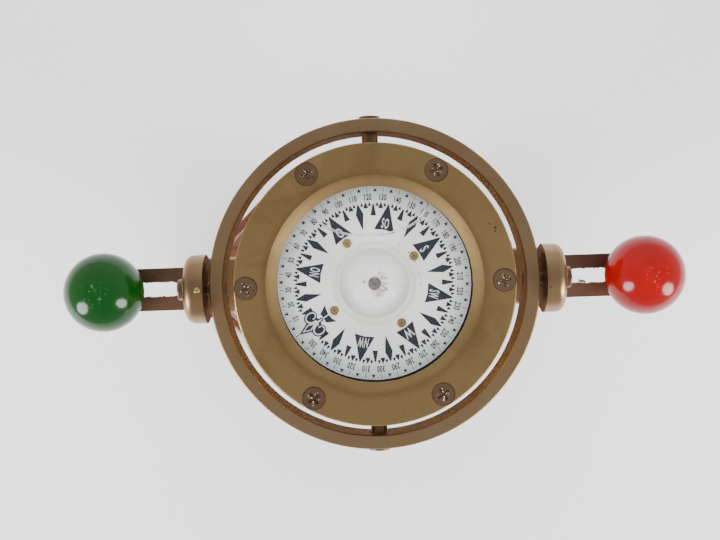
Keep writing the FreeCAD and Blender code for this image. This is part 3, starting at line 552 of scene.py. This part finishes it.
def make_north_mark():
    """Three-leaved ornament at north: a spear, two rolled petals, a knot and a spread foot."""
    spear = [(0, 47.0), (-2.7, 40.6), (-1.3, 36.4), (-0.9, 31.6), (0.9, 31.6), (1.3, 36.4), (2.7, 40.6)]
    inner = [(0, 45.0), (-1.75, 40.7), (-0.65, 37.0), (-0.3, 33.0), (0.3, 33.0), (0.65, 37.0), (1.75, 40.7)]
    core = [(0, 43.8), (-1.1, 40.8), (0, 37.8), (1.1, 40.8)]
    half_foot = [(0.25, 31.6), (2.6, 32.2), (5.3, 27.2), (2.6, 28.3), (0.25, 28.6)]
    knot = [(-2.4, 31.9), (-2.4, 32.4), (2.4, 32.4), (2.4, 31.9)]
    shapes, lights, cores = [(0, spear)], [(0, inner)], [(0, core)]
    for side in (-1, 1):
        points, widths = curl(side)
        shapes.append((0, ribbon(points, widths)))
        lights.append((0, ribbon(points[1:], [w * 0.36 for w in widths[1:]])))
        hub = [(side * CURL_X + 2.3 * math.cos(turn), CURL_Y + 2.6 * math.sin(turn)) for turn in turns(24)]
        shapes.append((0, hub))
        shapes.append((0, [(side * x, y) for x, y in half_foot]))
    lights.append((0, knot))
    printed("north_mark", shapes, navy)
    printed("north_mark_lights", lights, white, OVER_LOW, OVER_HIGH)
    printed("north_mark_core", cores, navy, OVER_HIGH + 0.01 * MM, OVER_HIGH + 0.04 * MM)


def make_lettering():
    """The numbers, and the winds' letters in their triangles."""
    numbers = [(str(ten), ten, NUMBER_R, 4.4, 0.60, 0.13, 1.08) for ten in range(10, 360, 10)]
    lettering("card_numbers", numbers, black, INK_LOW, INK_HIGH)
    winds = (("NO", 45), ("O", 90), ("SO", 135), ("S", 180), ("SW", 225), ("W", 270), ("NW", 315))
    letters = [(text, heading, WIND_R, 7.2, 0.40 if len(text) > 1 else 0.60, 0.14, 1.16)
               for text, heading in winds]
    lettering("card_winds", letters, white, OVER_LOW, OVER_HIGH)


def make_screw_marks():
    """Shadow in the cross and round the head of each of the card's four screws."""
    long_half, thin_half = 1.0, 0.16
    bar = ((-long_half, -thin_half), (-long_half, thin_half), (long_half, thin_half), (long_half, -thin_half))
    rim_in, rim_out, count = 1.52, 1.74, 28
    marks = []
    for k in range(4):
        for turn in (35 + 25 * k, 125 + 25 * k):
            c, s = math.cos(math.radians(turn)), math.sin(math.radians(turn))
            marks.append((-90 * k, [(u * c - v * s, CARD_SCREW_R + u * s + v * c) for u, v in bar]))
        rim = turns(count) + [math.tau]
        for a, b in zip(rim, rim[1:]):
            marks.append((-90 * k, [(r * math.cos(t), CARD_SCREW_R + r * math.sin(t))
                                    for r, t in ((rim_in, a), (rim_out, a), (rim_out, b), (rim_in, b))]))
    screw_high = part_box("card_screws")[1][2]
    # painted shade in the cross and round the head of each card screw
    printed("card_screw_marks", marks, wear_and_shade, screw_high + 0.005 * MM, screw_high + 0.04 * MM)


def make_dots():
    """Plain arc of dots, every fourth one larger."""
    dots = []
    for k in range(17):
        size = 0.42 if k % 4 == 0 else 0.22
        dots.append((158 + 3.6 * k, [(-size, DOT_R), (0, DOT_R + size), (size, DOT_R), (0, DOT_R - size)]))
    printed("card_dots", dots, black)


def make_card_print():
    make_rose()
    make_scale()
    make_north_mark()
    make_lettering()
    make_screw_marks()
    make_dots()


# ---------------------------------------------------------------- slotted arms with rough slots

SLOT_HALF, SLOT_LENGTH = 3.85 * MM, 38.6 * MM
ARM_BEND = 2.0 * MM                  # inner radius of the bend between bar and lug
ARM_TIP = 9.7 * MM                   # radius of the bar's outer corners
LUG_END, LUG_CHAMFER = 1.0 * MM, 0.6 * MM
# torn lump in the right arm's slot: along, across and radius in millimetres
TORN_LUMP = ((0.0, 0.9, 0.55), (0.9, 1.0, 0.7), (1.9, 0.9, 0.6), (-0.5, 1.7, 0.4), (2.6, 0.5, 0.45))
TORN_PLACE = 6.6 * MM                # from the slot's inner end to the lump


def sawn_edge(shape, start, stop, edge, steps=46):
    """Points along one long edge of the slot, between its corners, with teeth that stand into the slot."""
    teeth = [min(0.36, max(-0.25, shape.gauss(0, 0.18))) * MM for k in range(1, steps)]
    points = []
    for k, tooth in enumerate(teeth, 1):
        height = tooth * (1.7 if shape.random() < 0.3 else 0.8)
        points.append((start + (stop - start) * k / steps, edge * (SLOT_HALF - height)))
    return points


def slot_outline(shape, slot_in, slot_out):
    """The slot from above: round ends and hand-sawn long edges."""
    near, far = slot_in + SLOT_HALF, slot_out - SLOT_HALF
    return (arc(near, 0, SLOT_HALF, 90, 180, 6) + sawn_edge(shape, near, far, -1)
            + arc(far, 0, SLOT_HALF, -90, 180, 6) + sawn_edge(shape, far, near, 1))


def bar_outline(start, outer, half):
    """The bar from above: square at its inner end and round at its outer corners."""
    outline = [(start, -half), (start, half)]
    for x, y in arc(outer - ARM_TIP, 0, ARM_TIP, 90, -180, 12):
        outline.append((x, (half - ARM_TIP) * (1 if y > 0 else -1) + y))
    return outline


def flat_bar(outline, hole, thick, top, start):
    """The bar as a bmesh, open at its inner end, where the lug goes on."""
    flat = bmesh.new()
    edges = []
    for ring in (outline, hole):
        verts = [flat.verts.new((x, y, 0)) for x, y in ring]
        edges += [flat.edges.new((verts[k], verts[(k + 1) % len(verts)])) for k in range(len(verts))]
    bmesh.ops.triangle_fill(flat, use_beauty=True, use_dissolve=False, edges=edges)
    mesh = mesh_from(flat, "bar")
    bm = bmesh.new()
    bm.from_mesh(mesh)
    bpy.data.meshes.remove(mesh)
    bmesh.ops.solidify(bm, geom=bm.faces[:], thickness=thick)
    lowest = min(v.co.z for v in bm.verts)
    bmesh.ops.translate(bm, verts=bm.verts, vec=(0, 0, top - thick - lowest))
    joint = [f for f in bm.faces if all(abs(v.co.x - start) < 0.01 * MM for v in f.verts)]
    bmesh.ops.delete(bm, geom=joint, context="FACES_ONLY")
    return bm


def add_lug(bm, start, inner, half, thick, top, bottom):
    """Bent strip that runs from the bar's inner end down the yoke, and is welded to the bar."""
    bend_z = top - thick - ARM_BEND
    outside = arc(start, bend_z, ARM_BEND + thick, 90, 90, 8)
    inside = arc(start, bend_z, ARM_BEND, 90, 90, 8)
    outside += [(inner, bottom + LUG_END), (inner + LUG_CHAMFER, bottom)]
    inside += [(inner + thick, bottom + LUG_END), (inner + thick - LUG_CHAMFER, bottom)]
    rows = []
    for (ox, oz), (ix, iz) in zip(outside, inside):
        rows.append([bm.verts.new((x, y, z)) for x, y, z in
                     ((ox, -half, oz), (ox, half, oz), (ix, half, iz), (ix, -half, iz))])
    for a, b in zip(rows, rows[1:]):
        for k in range(4):
            n = (k + 1) % 4
            bm.faces.new((a[k], a[n], b[n], b[k]))
    bm.faces.new(rows[-1][::-1])
    bmesh.ops.remove_doubles(bm, verts=bm.verts, dist=0.002 * MM)


def add_saw_burrs(bm, shape, slot_in, slot_out, top):
    """Small filings that the saw left on the slot's long edges."""
    for _ in range(9):
        x = slot_in + SLOT_HALF + (slot_out - slot_in - 2 * SLOT_HALF) * shape.random()
        edge = shape.choice((-1, 1))
        size = shape.uniform(0.30, 0.65) * MM
        spot = Matrix.Translation((x, edge * (SLOT_HALF - 0.1 * MM), top - shape.uniform(0.5, 3.0) * MM))
        bmesh.ops.create_icosphere(bm, subdivisions=1, radius=size,
                                   matrix=spot @ Matrix.Diagonal((1.4, 0.8, 1.0, 1)))


def add_torn_lump(bm, slot_in, top):
    """Larger piece of torn metal that hangs in the slot."""
    for along, across, size in TORN_LUMP:
        x, y = slot_in + TORN_PLACE + along * MM, -SLOT_HALF + across * MM
        spot = Matrix.Translation((x, y, top - 1.2 * MM))
        bmesh.ops.create_icosphere(bm, subdivisions=2, radius=size * MM,
                                   matrix=spot @ Matrix.Diagonal((1.2, 1.0, 0.8, 1)))


def make_arm(side):
    """Slotted bar with a bent lug, made for the right side and turned round for the left."""
    node = "arm_" + side
    left = side == "left"
    low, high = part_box(node)
    inner, outer = (abs(high[0]), abs(low[0])) if left else (low[0], high[0])
    half = (high[1] - low[1]) / 2
    stud_low, stud_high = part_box("ball_stud_" + side)
    slot_out = abs(stud_low[0] + stud_high[0]) / 2 + SLOT_HALF
    slot_in = slot_out - SLOT_LENGTH
    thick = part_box("ball_collar_" + side)[0][2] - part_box("ball_washer_" + side)[1][2] - 0.1 * MM
    start = inner + thick + ARM_BEND
    shape = random.Random(5 if left else 8)

    hole = slot_outline(shape, slot_in, slot_out)
    bm = flat_bar(bar_outline(start, outer, half), hole, thick, high[2], start)
    add_lug(bm, start, inner, half, thick, high[2], low[2])
    add_saw_burrs(bm, shape, slot_in, slot_out, high[2])
    if left:
        bmesh.ops.rotate(bm, verts=bm.verts, cent=(0, 0, 0), matrix=Matrix.Rotation(math.pi, 3, "Z"))
    else:
        add_torn_lump(bm, slot_in, high[2])
    name = node + "_sawn"
    piece = add_piece(name, mesh_from(bm, name), looks["arm_bronze"], "stand")
    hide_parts(node)


# ---------------------------------------------------------------- bezel screws: gap and burrs

def make_screw_gaps():
    """Painted shade: a thin dark line in the gap round each bezel screw, wider at one side."""
    low, high = bezel_high[2] + 0.01 * MM, bezel_high[2] + 0.05 * MM
    bm = bmesh.new()
    shape = random.Random(3)
    for x, y in screw_spots:
        phase, count = shape.uniform(0, 6.28), 48
        rings = []
        for angle in turns(count):
            width = (0.20 + 0.10 * math.cos(angle - phase) + 0.04 * shape.random()) * MM
            rings.append([bm.verts.new((x + r * math.cos(angle), y + r * math.sin(angle), z))
                          for r, z in ((HEAD_R - width, low), (HEAD_R - width, high),
                                       (HEAD_R + width, high), (HEAD_R + width, low))])
        for k in range(count):
            a, b = rings[k], rings[(k + 1) % count]
            for s in range(4):
                bm.faces.new((a[s], b[s], b[(s + 1) % 4], a[(s + 1) % 4]))
    # painted shade: dark colour for the gap round each screw head
    gap_shade = ink("screw_gap_shade", colour(0.020, 0.011, 0.006), colour(0.055, 0.030, 0.016))
    add_piece("screw_gaps", mesh_from(bm, "screw_gaps"), gap_shade, "bowl")


def make_screw_burrs():
    """Bright torn metal along the edges of the chewed cross recesses."""
    top = bezel_high[2] + 0.02 * MM
    bm = bmesh.new()
    shape = random.Random(4)
    for x, y in screw_spots:
        first = shape.uniform(0, 90)
        for _ in range(34):
            arm = math.radians(first + 90 * shape.randrange(4) + shape.uniform(-14, 14))
            out = shape.uniform(0.9, 3.5) * MM
            size = shape.uniform(0.09, 0.21) * MM
            spot = Matrix.Translation((x + out * math.cos(arm), y + out * math.sin(arm), top))
            turn = Matrix.Rotation(arm + shape.uniform(-0.5, 0.5), 4, "Z")
            bmesh.ops.create_icosphere(bm, subdivisions=1, radius=size,
                                       matrix=spot @ turn @ Matrix.Diagonal((2.4, 0.7, 0.6, 1)))
    bright = brass("burr_look", colour(0.62, 0.58, 0.50), colour(0.40, 0.34, 0.26), 0.22)
    add_piece("screw_burrs", mesh_from(bm, "screw_burrs"), bright, "bowl")


# ---------------------------------------------------------------- bubble under the glass

def bubble_line(count):
    """Uneven oval under the glass, held off the bowl's wall where it would run into it."""
    centre = Vector((-1.5 * MM, 39.5 * MM, glass_low[2] - 0.45 * MM))
    spread, depth, wall = 29.5 * MM, 15.0 * MM, 50.5 * MM
    line = []
    for angle in turns(count):
        wobble = 1 + 0.012 * math.sin(3 * angle + 0.7) + 0.01 * math.sin(5 * angle)
        spot = centre + Vector((spread * wobble * math.cos(angle), depth * wobble * math.sin(angle), 0))
        reach = math.hypot(spot.x, spot.y)
        if reach > wall:
            spot.x, spot.y = spot.x * wall / reach, spot.y * wall / reach
        line.append(spot)
    return line


def make_bubble():
    """Edge of the air bubble that lies against the glass at the far side: a thin bright bead of liquid."""
    count, sides = 120, 8
    half_wide, half_high = 0.62 * MM, 0.42 * MM
    line = bubble_line(count)
    bm = bmesh.new()
    loops = []
    for k, middle in enumerate(line):
        along = (line[(k + 1) % count] - line[k - 1]).normalized()
        across = Vector((along.y, -along.x, 0))
        loops.append([bm.verts.new(middle + across * (half_wide * math.cos(turn))
                                   + Vector((0, 0, half_high * math.sin(turn)))) for turn in turns(sides)])
    for k in range(count):
        a, b = loops[k], loops[(k + 1) % count]
        for i in range(sides):
            n = (i + 1) % sides
            bm.faces.new((a[i], a[n], b[n], b[i]))
    bead = Paint("bubble_edge", Roughness=0.05, Transmission_Weight=1.0, IOR=1.33)
    bead.set("Base Color", bead.mix(bead.noise(90, 2), colour(0.90, 0.93, 0.94), colour(1, 1, 1)))
    add_piece("bubble_edge", mesh_from(bm, "bubble_edge", True), bead.material, "bowl")


make_card_print()
for arm_side in ("left", "right"):
    make_arm(arm_side)
make_screw_gaps()
make_screw_burrs()
make_bubble()


# ---------------------------------------------------------------- floor, lights and camera

def make_floor():
    """Pale plain floor."""
    bm = bmesh.new()
    bmesh.ops.create_grid(bm, x_segments=1, y_segments=1, size=3.0)
    mesh = mesh_from(bm, "floor")
    floor = bpy.data.objects.new("floor", mesh)
    bpy.context.scene.collection.objects.link(floor)
    paint = Paint("floor_look", Roughness=0.7, Specular_IOR_Level=0.3)
    dark, light = colour(0.83, 0.825, 0.835), colour(0.85, 0.845, 0.855)
    paint.set("Base Color", paint.mix(paint.noise(3, 2), dark, light))
    mesh.materials.append(paint.material)


def add_softbox(name, place, size, power, glossy=True, target=(0, 0, 0.18)):
    """Area lamp turned to a target. One that isn't glossy lights surfaces and leaves no reflection."""
    lamp = bpy.data.lights.new(name, "AREA")
    lamp.shape = "ELLIPSE" if glossy else "RECTANGLE"
    lamp.size, lamp.size_y = size
    lamp.energy = power
    holder = bpy.data.objects.new(name, lamp)
    holder.location = place
    holder.visible_glossy = glossy
    holder.rotation_euler = (Vector(target) - Vector(place)).to_track_quat("-Z", "Y").to_euler()
    bpy.context.scene.collection.objects.link(holder)


def make_lights():
    """Soft world, dimmer overhead, with two lamps in front and two that show in no reflection."""
    world = bpy.data.worlds.new("studio")
    bpy.context.scene.world = world
    world.use_nodes = True
    tree = world.node_tree
    background = tree.nodes["Background"]
    background.inputs["Color"].default_value = colour(1.0, 1.0, 1.0)
    lean = tree.nodes.new("ShaderNodeVectorMath")
    lean.operation = "DOT_PRODUCT"
    lean.inputs[1].default_value = (0, -0.35, 1)
    tree.links.new(tree.nodes.new("ShaderNodeTexCoord").outputs["Generated"], lean.inputs[0])
    fade = tree.nodes.new("ShaderNodeMapRange")
    for socket, value in (("From Min", -0.30), ("From Max", 1.00), ("To Min", 1.15), ("To Max", 0.50)):
        fade.inputs[socket].default_value = value
    tree.links.new(lean.outputs["Value"], fade.inputs["Value"])
    tree.links.new(fade.outputs[0], background.inputs["Strength"])
    for name, x in (("softbox_left", -1.15), ("softbox_right", 1.15)):
        add_softbox(name, (x, -0.75, 0.72), (0.62, 0.92), 30)
    add_softbox("rear_panel", (0, 1.15, 1.15), (2.4, 1.2), 20, glossy=False)
    add_softbox("ceiling", (0, 0.05, 1.75), (1.3, 1.3), 20, glossy=False)


def make_camera():
    """Nearly overhead, a little left of and behind the centre, and rolled so that the arms run uphill."""
    roll = math.radians(-1.9)
    right = Vector((math.cos(roll), math.sin(roll), 0))
    up = Vector((-math.sin(roll), math.cos(roll), 0))
    rise = Vector((0, 0, 510 * MM))
    eye = pivot + right * -8.4 * MM + up * 14.5 * MM + rise
    ahead = (right * 0.002 + up * -0.015 + Vector((0, 0, -1))).normalized()
    side = ahead.cross(up).normalized()
    top = side.cross(ahead)
    lens = bpy.data.cameras.new("camera")
    lens.lens = 50.0
    lens.sensor_width = 36.0
    camera = bpy.data.objects.new("camera", lens)
    camera.matrix_world = Matrix(((side.x, top.x, -ahead.x, eye.x), (side.y, top.y, -ahead.y, eye.y),
                                  (side.z, top.z, -ahead.z, eye.z), (0, 0, 0, 1)))
    bpy.context.scene.collection.objects.link(camera)
    bpy.context.scene.camera = camera


make_floor()
make_lights()
make_camera()
